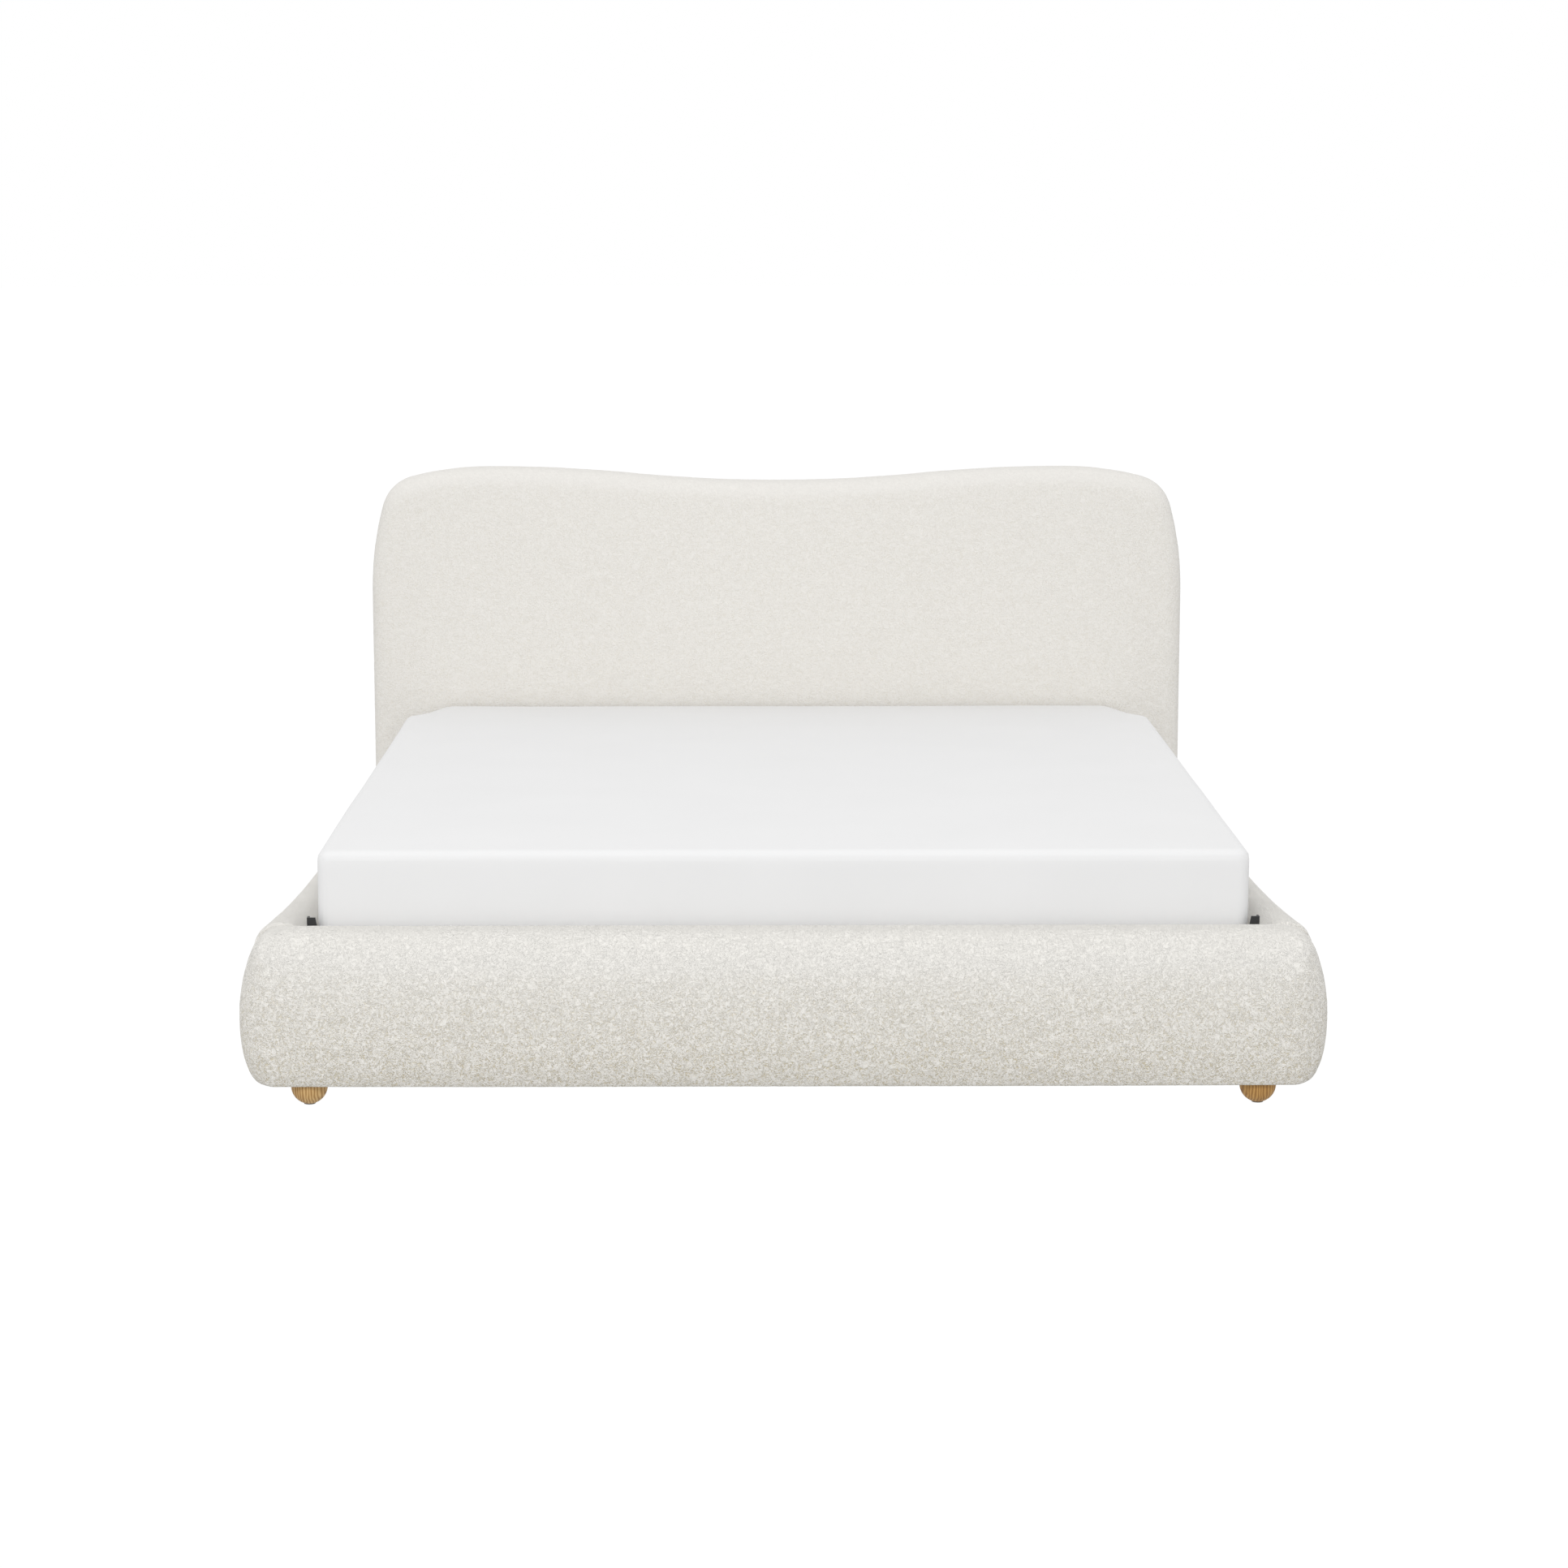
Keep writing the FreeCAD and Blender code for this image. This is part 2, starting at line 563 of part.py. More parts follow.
# ---- the bed ------------------------------------------------------------------------------------
def main():
    os.makedirs("parts", exist_ok=True)
    corner = corner_bolts()
    hangers = hanger_bolts()
    bolts = corner + hangers
    screws = wood_screws()
    studs = dowel_studs()

    for name, shape in headboard_parts(bolts, studs):
        save(name, shape)
    for name, shape in footboard_parts(bolts, studs):
        save(name, shape)
    for name, shape in rail_parts(corner + screws):
        save("right_" + name, shape)
        save("left_" + name, mirrored(shape))

    for end, wall, inward in (("front", FOOTBOARD_BACK, 1), ("rear", HEADBOARD_FRONT, -1)):
        bracket = corner_bracket(wall, inward, corner)
        save(end + "_right_bracket", bracket)
        save(end + "_left_bracket", mirrored(bracket))
        save(end + "_beam_hanger", beam_hanger(wall, inward, hangers))

    for number, y in enumerate(slat_places(), 1):
        save(f"slat_{number:02d}", slat(y, screws))
    save("centre_beam", centre_beam(screws + studs))

    for end, y in zip(("front", "rear"), LEG_PLACES):
        save(end + "_support_leg", support_leg(y, studs))
        save(end + "_leveller_pad", leveller_pad(y))
        save(end + "_leveller_screw", leveller_screw(y))

    for end, y in (("front", FRONT_FOOT_Y), ("rear", REAR_FOOT_Y)):
        foot = ball_foot(FOOT_X, y, studs)
        save(end + "_right_foot", foot)
        save(end + "_left_foot", mirrored(foot))
    glides = [rod(GLIDE_RADIUS, Vector(side * FOOT_X, y, 0), Vector(side * FOOT_X, y, GLIDE_THICKNESS))
              for side in (-1, 1) for y in (FRONT_FOOT_Y, REAR_FOOT_Y)]
    save("foot_glides", Part.makeCompound(glides))

    save("frame_bolts", Part.makeCompound(bolts))
    save("wood_screws", Part.makeCompound(screws))
    save("foot_and_leg_studs", Part.makeCompound(studs))

    core = mattress_block(MATTRESS_COVER)
    save("mattress_core", core)
    save("mattress_cover", without(mattress_block(0), [core]))


main()
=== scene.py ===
import json
import math

import bmesh
import bpy
import numpy as np
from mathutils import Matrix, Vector, noise


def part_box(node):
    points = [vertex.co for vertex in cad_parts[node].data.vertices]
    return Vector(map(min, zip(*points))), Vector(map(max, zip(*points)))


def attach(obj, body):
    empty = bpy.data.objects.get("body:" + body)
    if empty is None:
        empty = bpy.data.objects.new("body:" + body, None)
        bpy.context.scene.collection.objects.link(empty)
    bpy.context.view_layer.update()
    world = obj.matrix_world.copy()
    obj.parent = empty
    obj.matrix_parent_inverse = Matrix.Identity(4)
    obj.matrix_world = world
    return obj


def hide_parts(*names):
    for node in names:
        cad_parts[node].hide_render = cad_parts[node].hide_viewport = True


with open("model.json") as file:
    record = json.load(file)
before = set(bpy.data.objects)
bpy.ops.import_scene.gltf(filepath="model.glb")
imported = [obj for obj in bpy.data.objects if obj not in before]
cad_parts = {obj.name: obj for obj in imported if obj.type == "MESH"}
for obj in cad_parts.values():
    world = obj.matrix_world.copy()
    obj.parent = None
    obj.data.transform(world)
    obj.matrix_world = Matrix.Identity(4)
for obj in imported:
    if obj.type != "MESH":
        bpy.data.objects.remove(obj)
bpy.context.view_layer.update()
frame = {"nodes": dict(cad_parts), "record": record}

# The looks of an upholstered bed: looped off-white cloth over padded boards, a plain mattress,
# oak ball feet and the timber and steel that the bed is put together with. Metres throughout.

# ---- headboard ----------------------------------------------------------------------------------
CREST_X = 0.708  # the headboard's two crests, either side of its dip
CREST_RISE = 0.034
SHOULDER_RADIUS = 0.80
SHOULDER_TURN = math.radians(14.25)
CORNER_RADIUS = 0.090
CORNER_TURN = math.radians(59.75)
OUTLINE_STEP = 0.012  # between points along the outline
HEADBOARD_ROLL = 0.040  # rounding of the front edge
FRONT_ROLL_RINGS = 9
HEADBOARD_BACK_ROLL = 0.020
BACK_ROLL_RINGS = 5
SQUARED = 0.026  # how far from the lower back edge its points are drawn out
EDGE_BAND = 0.004  # how near a face a point lies when it counts as on it

# ---- back cloth and its staples -----------------------------------------------------------------
BACK_MARGIN = 0.035  # turned edge of the cover round the back cloth
BACK_LAP = 0.025  # how far the cover runs on under the back cloth
CLOTH_PROUD = 0.0005  # how far the cloth stands off the headboard's back
HEM_PROUD = 0.0012
HEM = (  # how far in from the edge, and how proud
    (0.0, -0.0008),
    (0.0, 0.0006),
    (0.001, HEM_PROUD),
    (0.011, HEM_PROUD),
    (0.013, 0.0006),
    (0.02, CLOTH_PROUD),
)
CLOTH_ROWS = np.linspace(0.96, 0.02, 16)  # sizes of the rings inside the hem
RIPPLE_BAND = 0.0003  # cloth that lies this far below the hem may ripple
RIPPLES_PER_METRE = 3.0
RIPPLE_HEIGHT = 0.0005
RIPPLE_LIFT = 0.0006
STAPLE_PITCH = 0.10
STAPLE_HALF = 0.006
STAPLE_WIRE = 0.0009
STAPLE_INSET = 0.0065  # from the cloth's edge
STAPLE_TAPER = 0.86  # the wire's top face beside its foot
STAPLE_AHEAD = 0.01  # how far ahead along the edge its direction is measured

# ---- footboard ----------------------------------------------------------------------------------
PLAN_CORNER = 0.085  # the front corners, seen from above
END_ROLL = 0.034
END_TUCK = 0.027
END_LEAN = 0.042
FRONT_TUCK = 0.020
TUCK_POWER = 3.0  # how late the padding turns in under itself
ROLL_DEPTH = 0.088
ROLL_POWER = 2.4  # 2 is an ellipse; more is fuller
BACK_EDGE = 0.022
BELLY = 0.44  # how far up its side the padding of a footboard or rail is fullest
ROLL_POINTS = 44
FACE_POINTS = 14
BACK_POINTS = 22
EDGE_POINTS = 6
TOP_POINTS = 8
HEART_BACK = 0.01  # how far behind mid-depth the rings of an end close in on
END_SHARES = (*np.linspace(0.04, 0.9, 12), 0.95, 0.98, 1.0)  # sizes of those rings
PINCH_PLACE = (0.058, 0.085, 0.004)  # in from each end, back from the front, down from the top
PINCH_RADIUS = 0.014
PINCH_DEPTH = 0.006

# ---- side rails ---------------------------------------------------------------------------------
RAIL_FLARE = 0.034  # how much wider the rails are at the footboard
RAIL_FALL = 0.030  # how much higher they are there
FLARE_POWER = 4.5
RAIL_LEAN = 0.014
RAIL_TUCK = 0.022
RAIL_RINGS = 60
INSIDE_STEPS = 12
ROLL_STEPS = 16
OUTSIDE_STEPS = 14
UNDERSIDE_STEPS = 8

# ---- mattress -----------------------------------------------------------------------------------
MATTRESS_EDGE = 0.010
EDGE_RINGS = 7
FRONT_CORNER = 0.016
REAR_CORNER = 0.095
CORNER_POINTS = 13
CORNER_SHARE = 0.3  # how much of its inset a ring of the mattress takes off its corners
REAR_SLOPE = 0.10
REAR_DROP = 0.045
DROP_POWER = 1.5
WAVE_HEIGHT = 0.0012  # its sides and top are never quite flat
WAVE_SIZE = 0.30

# ---- feet ---------------------------------------------------------------------------------------
FOOT_RINGS = 28
FOOT_SIDES = 72

# ---- padding ------------------------------------------------------------------------------------
PAD_VOXEL = 0.0105
HEADBOARD_VOXEL = 0.0118
MATTRESS_VOXEL = 0.013
RELAX_ROUNDS = 2
HEADBOARD_RELAX = 8
SHRINK = 0.006  # how much smaller a pad starts than it ends up
SIM_FRAMES = 20
PRESSURE = 4.0
CLOTH_QUALITY = 5
CLOTH_MASS = 0.3
CLOTH_STIFFNESS = 20
CLOTH_BENDING = 4
TAUT_ROUNDS = 60  # of averaging with the neighbouring points
HEADBOARD_SWELL = 0.006  # the most that each piece bulges
FOOTBOARD_SWELL = 0.008
RAIL_SWELL = 0.003
MATTRESS_SWELL = 0.003
MATTRESS_HELD = 0.06  # how far below its top the mattress stops bulging
LOOP_SIZE = 0.010  # the yarn's loops that stand out of the cloth
LOOP_HEIGHT = 0.0004

# ---- cloth patterns, as repeats in a metre, and their relief ------------------------------------
COARSE_LOOPS = 105.0
FINE_LOOPS = 170.0
YARN_FUZZ = 1100.0
LOOP_RELIEF = 0.0024
RIDGE_SLOPE = 6.5  # the steeper, the thinner the yarn
KNIT_RIBS = 260.0
DIMPLES = 420.0
DOWN_SLOPE = 1.6  # how fast the shading of gaps fades as the cloth turns up
DOWN_START = 0.66

# ---- light and camera ---------------------------------------------------------------------------
LIGHT_FROM_ABOVE = 0.96
LIGHT_FROM_BELOW = 0.65
HORIZON_BAND = 0.35
KEY_PLACE = (-1.8, -11.0, 7.0)
KEY_TARGET = (0.0, -0.5, 0.5)
KEY_SIZE = (4.0, 3.0)
KEY_POWER = 470
FLOOR_RADIUS = 60.0
CAMERA_PLACE = (-0.0556, -7.814, 1.723)
CAMERA_TILT = math.radians(9.32)
CAMERA_YAW = math.radians(-0.472)
CAMERA_LENS = 82.79
CAMERA_REACH = 200.0


# ---- mesh helpers -------------------------------------------------------------------------------
def quarter_turn(count):
    """Angles from nothing to a right angle."""
    return np.radians(np.linspace(0.0, 90.0, count))


def new_piece(name, vertices, faces):
    """A mesh object with smooth faces."""
    mesh = bpy.data.meshes.new(name)
    mesh.from_pydata([tuple(v) for v in vertices], [], faces)
    mesh.validate()
    mesh.polygons.foreach_set("use_smooth", [True] * len(mesh.polygons))
    piece = bpy.data.objects.new(name, mesh)
    bpy.context.collection.objects.link(piece)
    return piece


def face_outwards(piece):
    """Turn every face of a closed form to look out of it."""
    mesh = bmesh.new()
    mesh.from_mesh(piece.data)
    bmesh.ops.recalc_face_normals(mesh, faces=mesh.faces)
    mesh.to_mesh(piece.data)
    mesh.free()


def bands(rings):
    """The faces between neighbouring rings of equally many points."""
    count = len(rings[0])
    faces = []
    for row in range(len(rings) - 1):
        here = row * count
        there = here + count
        for k in range(count):
            nxt = (k + 1) % count
            faces.append((here + k, here + nxt, there + nxt, there + k))
    return faces


def loft(name, rings):
    """A closed form through rings of equally many points, capped at both ends."""
    count = len(rings[0])
    faces = bands(rings)
    faces.append(tuple(reversed(range(count))))
    faces.append(tuple(range((len(rings) - 1) * count, len(rings) * count)))
    piece = new_piece(name, [point for ring in rings for point in ring], faces)
    face_outwards(piece)
    return piece


def apply_modifiers(piece):
    """Keep what the modifiers make of the piece, and drop them."""
    graph = bpy.context.evaluated_depsgraph_get()
    mesh = bpy.data.meshes.new_from_object(piece.evaluated_get(graph))
    mesh.name = piece.name
    piece.modifiers.clear()
    piece.data = mesh
    mesh.polygons.foreach_set("use_smooth", [True] * len(mesh.polygons))


def remesh(piece, voxel):
    """Cover the form with even faces of about one size."""
    modifier = piece.modifiers.new("remesh", "REMESH")
    modifier.mode = "VOXEL"
    modifier.voxel_size = voxel
    modifier.adaptivity = 0.0
    apply_modifiers(piece)


def relax(piece, rounds):
    """Even out the steps that a remesh leaves."""
    modifier = piece.modifiers.new("relax", "SMOOTH")
    modifier.iterations = rounds
    apply_modifiers(piece)


def subdivide(piece):
    modifier = piece.modifiers.new("subdivide", "SUBSURF")
    modifier.levels = 1
    modifier.render_levels = 1
    apply_modifiers(piece)


def points_of(piece):
    flat = np.empty(len(piece.data.vertices) * 3)
    piece.data.vertices.foreach_get("co", flat)
    return flat.reshape(-1, 3)


def set_points(piece, points):
    piece.data.vertices.foreach_set("co", points.ravel())
    piece.data.update()


def normals_of(piece):
    flat = np.empty(len(piece.data.vertices) * 3)
    piece.data.vertices.foreach_get("normal", flat)
    return flat.reshape(-1, 3)


def fit(piece, low, high):
    """Stretch the piece a little so that it fills its box exactly."""
    points = points_of(piece)
    least, most = points.min(axis=0), points.max(axis=0)
    scale = (np.array(high) - np.array(low)) / (most - least)
    set_points(piece, np.array(low) + (points - least) * scale)


def swell(piece, held, cap):
    """Blow the piece up as a cloth bag, and keep how far each point bulges outwards, up to cap."""
    start = points_of(piece)
    outward = normals_of(piece)
    group = piece.vertex_groups.new(name="held")
    group.add([int(k) for k in np.flatnonzero(held(start))], 1.0, "REPLACE")
    modifier = piece.modifiers.new("cloth", "CLOTH")
    cloth = modifier.settings
    cloth.quality = CLOTH_QUALITY
    cloth.mass = CLOTH_MASS
    cloth.tension_stiffness = CLOTH_STIFFNESS
    cloth.compression_stiffness = CLOTH_STIFFNESS
    cloth.bending_stiffness = CLOTH_BENDING
    cloth.use_pressure = True
    cloth.uniform_pressure_force = PRESSURE
    cloth.vertex_group_mass = group.name
    cloth.effector_weights.gravity = 0.0
    modifier.collision_settings.use_collision = False
    modifier.collision_settings.use_self_collision = False
    modifier.point_cache.frame_end = SIM_FRAMES
    scene = bpy.context.scene
    for number in range(1, SIM_FRAMES + 1):
        scene.frame_set(number)
    blown = piece.evaluated_get(bpy.context.evaluated_depsgraph_get())
    ended = np.empty(len(start) * 3)
    blown.to_mesh().vertices.foreach_get("co", ended)
    blown.to_mesh_clear()
    piece.modifiers.clear()
    piece.vertex_groups.clear()
    scene.frame_set(1)
    bulge = np.sum((ended.reshape(-1, 3) - start) * outward, axis=1)
    bulge = cap * np.tanh(np.clip(bulge, 0.0, None) / cap)
    set_points(piece, start + outward * spread_out(piece, bulge)[:, None])


def spread_out(piece, values):
    """Average each point's value with its neighbours' over and over, so that a bulge has no wrinkles."""
    edges = np.empty(len(piece.data.edges) * 2, dtype=int)
    piece.data.edges.foreach_get("vertices", edges)
    first, second = edges.reshape(-1, 2).T
    count = np.bincount(edges, minlength=len(values))
    for _ in range(TAUT_ROUNDS):
        total = np.bincount(first, values[second], len(values))
        total = total + np.bincount(second, values[first], len(values))
        values = (values + total) / (count + 1)
    return values


def square_lower_back(piece, low, back):
    """Draw the lower back edge out to a corner again, so that it covers the rail behind it."""
    points = points_of(piece)
    above = points[:, 2] - low
    ahead = back - points[:, 1]
    near = (above < SQUARED) & (ahead < SQUARED)
    points[near & (above <= ahead), 2] = low
    points[near & (above > ahead), 1] = back
    set_points(piece, points)


def pinch(piece, place, radius, depth):
    """Draw the cloth in round one point, as where a corner is sewn down."""
    points = points_of(piece)
    near = np.exp(-np.sum((points - np.array(place)) ** 2, axis=1) / radius ** 2)
    set_points(piece, points - normals_of(piece) * (near * depth)[:, None])


def roughen(piece, height, size, where=None):
    """Push points in and out along their normals by smooth noise, size metres across."""
    points = points_of(piece)
    bumps = height * np.array([noise.noise(Vector(point) / size) for point in points])
    if where is not None:
        bumps *= where(points)
    set_points(piece, points + normals_of(piece) * bumps[:, None])


def finish_soft(piece, body, material, nodes):
    """Everything that a padded piece still needs once its shape is made."""
    piece.data.materials.clear()
    piece.data.materials.append(material)
    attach(piece, body)
    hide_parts(*nodes)


# ---- materials ----------------------------------------------------------------------------------
class Shader:
    """A node material being built: a Principled surface and short calls for the nodes before it."""

    def __init__(self, name, roughness, **sockets):
        self.material = bpy.data.materials.new(name)
        self.material.use_nodes = True
        self.tree = self.material.node_tree
        self.surface = self.tree.nodes["Principled BSDF"]
        self.surface.inputs["Roughness"].default_value = roughness
        for socket, value in sockets.items():
            self.surface.inputs[socket.replace("_", " ")].default_value = value
        self.place = self.tree.nodes.new("ShaderNodeTexCoord").outputs["Object"]

    def link(self, output, node, socket):
        self.tree.links.new(output, node.inputs[socket])

    def stretched(self, scale):
        node = self.tree.nodes.new("ShaderNodeMapping")
        node.inputs["Scale"].default_value = scale
        self.link(self.place, node, "Vector")
        return node.outputs["Vector"]

    def noise(self, scale, detail=2.0, vector=None, distortion=0.0):
        node = self.tree.nodes.new("ShaderNodeTexNoise")
        node.inputs["Scale"].default_value = scale
        node.inputs["Detail"].default_value = detail
        node.inputs["Distortion"].default_value = distortion
        self.link(vector or self.place, node, "Vector")
        return node.outputs["Fac"]

    def cells(self, scale, smoothness):
        node = self.tree.nodes.new("ShaderNodeTexVoronoi")
        node.feature = "SMOOTH_F1"
        node.inputs["Scale"].default_value = scale
        node.inputs["Smoothness"].default_value = smoothness
        self.link(self.place, node, "Vector")
        return node.outputs["Distance"]

    def ridges(self, scale, distortion):
        """Curled ridges where a noise passes its middle value: 1 along their tops and 0 between them."""
        middle = self.math("SUBTRACT", self.noise(scale, 1.0, distortion=distortion), 0.5)
        slope = self.math("MULTIPLY", self.math("ABSOLUTE", middle, 0.0), RIDGE_SLOPE)
        return self.math("MAXIMUM", self.math("SUBTRACT", 1.0, slope), 0.0)

    def wave(self, scale, direction, vector=None, distortion=0.0):
        node = self.tree.nodes.new("ShaderNodeTexWave")
        node.bands_direction = direction
        node.inputs["Scale"].default_value = scale
        node.inputs["Distortion"].default_value = distortion
        node.inputs["Detail"].default_value = 2.0
        self.link(vector or self.place, node, "Vector")
        return node.outputs["Fac"]

    def math(self, operation, first, second):
        node = self.tree.nodes.new("ShaderNodeMath")
        node.operation = operation
        for index, value in enumerate((first, second)):
            if isinstance(value, (int, float)):
                node.inputs[index].default_value = value
            else:
                self.tree.links.new(value, node.inputs[index])
        return node.outputs[0]

    def facing_down(self):
        """1 where the surface looks down or sideways, falling to 0 where it looks up."""
        parts = self.tree.nodes.new("ShaderNodeSeparateXYZ")
        self.link(self.tree.nodes.new("ShaderNodeNewGeometry").outputs["Normal"], parts, "Vector")
        upward = self.math("MULTIPLY", parts.outputs["Z"], DOWN_SLOPE)
        share = self.math("MAXIMUM", self.math("SUBTRACT", DOWN_START, upward), 0.0)
        return self.math("MINIMUM", share, 1.0)

    def ramp(self, value, stops):
        node = self.tree.nodes.new("ShaderNodeValToRGB")
        ramp = node.color_ramp
        while len(ramp.elements) < len(stops):
            ramp.elements.new(0.5)
        for element, (position, colour) in zip(ramp.elements, stops):
            element.position = position
            element.color = (*colour, 1.0)
        self.link(value, node, "Fac")
        return node.outputs["Color"]

    def mix(self, factor, first, second):
        """One colour running into another; inputs 6 and 7 are the node's two colours."""
        node = self.tree.nodes.new("ShaderNodeMix")
        node.data_type = "RGBA"
        for value, socket in zip((factor, first, second), (node.inputs[k] for k in (0, 6, 7))):
            if isinstance(value, tuple):
                socket.default_value = (*value, 1.0)
            else:
                self.tree.links.new(value, socket)
        return node.outputs[2]

    def colour(self, output):
        self.link(output, self.surface, "Base Color")

    def bump(self, height, distance, strength):
        node = self.tree.nodes.new("ShaderNodeBump")
        node.inputs["Distance"].default_value = distance
        node.inputs["Strength"].default_value = strength
        self.link(height, node, "Height")
        self.link(node.outputs["Normal"], self.surface, "Normal")


def boucle_material(name, yarn, relief_and_gap_shade):
    """Off-white looped yarn with painted shade: the gaps between its loops are painted darker and
    warmer, more so where the cover turns down, away from the light above; the third argument sets both
    the loops' bump and how much of that painted shade shows.
    """
    shader = Shader(name, 0.95, Sheen_Weight=0.08, Sheen_Roughness=0.6, Specular_IOR_Level=0.12)
    fine = shader.math("MULTIPLY", shader.ridges(FINE_LOOPS, 1.2), 0.85)
    loops = shader.math("MAXIMUM", shader.ridges(COARSE_LOOPS, 1.6), fine)
    fuzz = shader.math("MULTIPLY", shader.noise(YARN_FUZZ), 0.25)
    height = shader.math("ADD", loops, fuzz)
    # Painted shade: the low parts between the loops take darker, warmer colours that stand in for the
    # shade in the crevices.
    shaded_gaps = shader.ramp(height, (
        (0.25, (0.600, 0.540, 0.405)),
        (0.70, (0.780, 0.743, 0.659)),
        (0.90, (0.828, 0.806, 0.760)),
    ))
    # Painted shade: more of the darker gap colour where the surface faces down or sideways, away from
    # the light above.
    depth = shader.math("MULTIPLY", shader.facing_down(), relief_and_gap_shade)
    shader.colour(shader.mix(depth, yarn, shaded_gaps))
    shader.bump(height, LOOP_RELIEF, 0.25 + 0.45 * relief_and_gap_shade)
    return shader.material


def mattress_material():
    """Plain white stretch cloth with a very fine knit."""
    shader = Shader("mattress_cloth", 0.9, Sheen_Weight=0.1, Sheen_Roughness=0.5, Specular_IOR_Level=0.2)
    ribs = shader.math("MULTIPLY", shader.wave(KNIT_RIBS, "X"), shader.wave(KNIT_RIBS, "Y"))
    soft = shader.noise(4.0, 3.0)
    shader.colour(shader.ramp(soft, ((0.3, (0.757, 0.757, 0.759)), (0.7, (0.768, 0.768, 0.770)))))
    height = shader.math("ADD", shader.math("MULTIPLY", ribs, 0.15), soft)
    shader.bump(height, 0.0012, 0.5)
    return shader.material


def wood_material(name, light, dark, along, roughness=0.55):
    """Timber with growth rings stretched along its length and fine pores."""
    shader = Shader(name, roughness, Specular_IOR_Level=0.35)
    squeeze = [26.0] * 3
    squeeze["XYZ".index(along)] = 1.6
    grain = shader.stretched(squeeze)
    rings = shader.noise(1.0, 3.0, grain, distortion=1.4)
    bands = shader.wave(2.2, "X" if along != "X" else "Y", grain, distortion=6.0)
    pores = shader.noise(9.0, 4.0, grain)
    mixed = shader.math("ADD", shader.math("MULTIPLY", rings, 0.5), shader.math("MULTIPLY", bands, 0.5))
    tone = shader.ramp(mixed, ((0.25, dark), (0.75, light)))
    shader.colour(shader.mix(shader.math("MULTIPLY", pores, 0.25), tone, dark))
    shader.bump(shader.math("ADD", mixed, pores), 0.0006, 0.35)
    return shader.material


def plywood_material():
    shader = Shader("plywood", 0.7, Specular_IOR_Level=0.25)
    veneer = shader.noise(1.0, 4.0, shader.stretched((6.0, 40.0, 60.0)), distortion=2.0)
    shader.colour(shader.ramp(veneer, ((0.3, (0.50, 0.34, 0.18)), (0.7, (0.66, 0.50, 0.31)))))
    shader.bump(veneer, 0.0005, 0.3)
    return shader.material


def steel_material(name, colour, roughness, metallic):
    """Powder-coated or plated steel with a faint orange peel and worn patches."""
    shader = Shader(name, roughness, Metallic=metallic)
    worn = shader.noise(38.0, 4.0)
    lighter = tuple(min(1.0, c * 1.5 + 0.01) for c in colour)
    shader.colour(shader.ramp(worn, ((0.45, colour), (0.8, lighter))))
    shader.bump(shader.noise(700.0, 2.0), 0.0002, 0.4)
    return shader.material


def felt_material():
    shader = Shader("felt", 1.0, Sheen_Weight=0.3, Specular_IOR_Level=0.1)
    fuzz = shader.noise(900.0, 4.0, distortion=2.0)
    shader.colour(shader.ramp(fuzz, ((0.3, (0.10, 0.09, 0.08)), (0.7, (0.20, 0.19, 0.17)))))
    shader.bump(fuzz, 0.0004, 0.6)
    return shader.material


def back_cloth_material():
    """Thin bonded cloth with a dimpled press pattern, as on furniture backs."""
    shader = Shader("back_cloth", 0.9, Specular_IOR_Level=0.15)
    dimples = shader.cells(DIMPLES, 0.6)
    cloud = shader.noise(14.0, 4.0)
    shader.colour(shader.ramp(cloud, ((0.3, (0.595, 0.575, 0.535)), (0.7, (0.625, 0.605, 0.565)))))
    shader.bump(dimples, 0.0006, 0.5)
    return shader.material


# Both carry painted shade in the gaps between the loops: full on the footboard and rails, and much less
# on the headboard, whose copy also has a weaker bump and a slightly darker base colour.
BOUCLE = boucle_material("boucle", (0.798, 0.780, 0.741), 1.0)
BOUCLE_TAUT_LESS_SHADE = boucle_material("boucle_taut_less_shade", (0.778, 0.759, 0.724), 0.35)  # on the headboard
MATTRESS = mattress_material()
# Two copies of the same oak: the darker, warmer one is for the right-hand feet, on the side away from
# the key light, as painted shade.
OAK = wood_material("oak", (0.72, 0.49, 0.22), (0.36, 0.19, 0.058), "Z", 0.5)
OAK_SHADED = wood_material("oak_shaded", (0.60, 0.35, 0.115), (0.31, 0.15, 0.038), "Z", 0.5)
NODE_MATERIALS = {
    "oak": OAK,
    "plywood": plywood_material(),
    "pine": wood_material("pine", (0.66, 0.48, 0.27), (0.50, 0.32, 0.15), "Y"),
    "slat_wood": wood_material("slat_wood", (0.68, 0.52, 0.32), (0.54, 0.37, 0.20), "X"),
    "felt": felt_material(),
    "black_steel": steel_material("black_steel", (0.018, 0.018, 0.019), 0.5, 0.0),
    "black_bolts": steel_material("black_bolts", (0.03, 0.03, 0.032), 0.4, 0.3),
    "zinc_steel": steel_material("zinc_steel", (0.55, 0.55, 0.53), 0.35, 1.0),
    "black_plastic": steel_material("black_plastic", (0.02, 0.02, 0.02), 0.6, 0.0),
    "back_cloth": back_cloth_material(),
    "boucle": BOUCLE,
    "upholstery_foam": BOUCLE,
    "mattress_foam": MATTRESS,
    "mattress_cloth": MATTRESS,
}


def dress_nodes():
    """Give every carried-over node the material of its slot."""
    slots = {entry["node"]: entry["material_slot"] for entry in frame["record"]["subparts"]}
    for name, piece in frame["nodes"].items():
        material = NODE_MATERIALS[slots[name]]
        if not piece.material_slots:
            piece.data.materials.append(material)
        for slot in piece.material_slots:
            slot.material = material


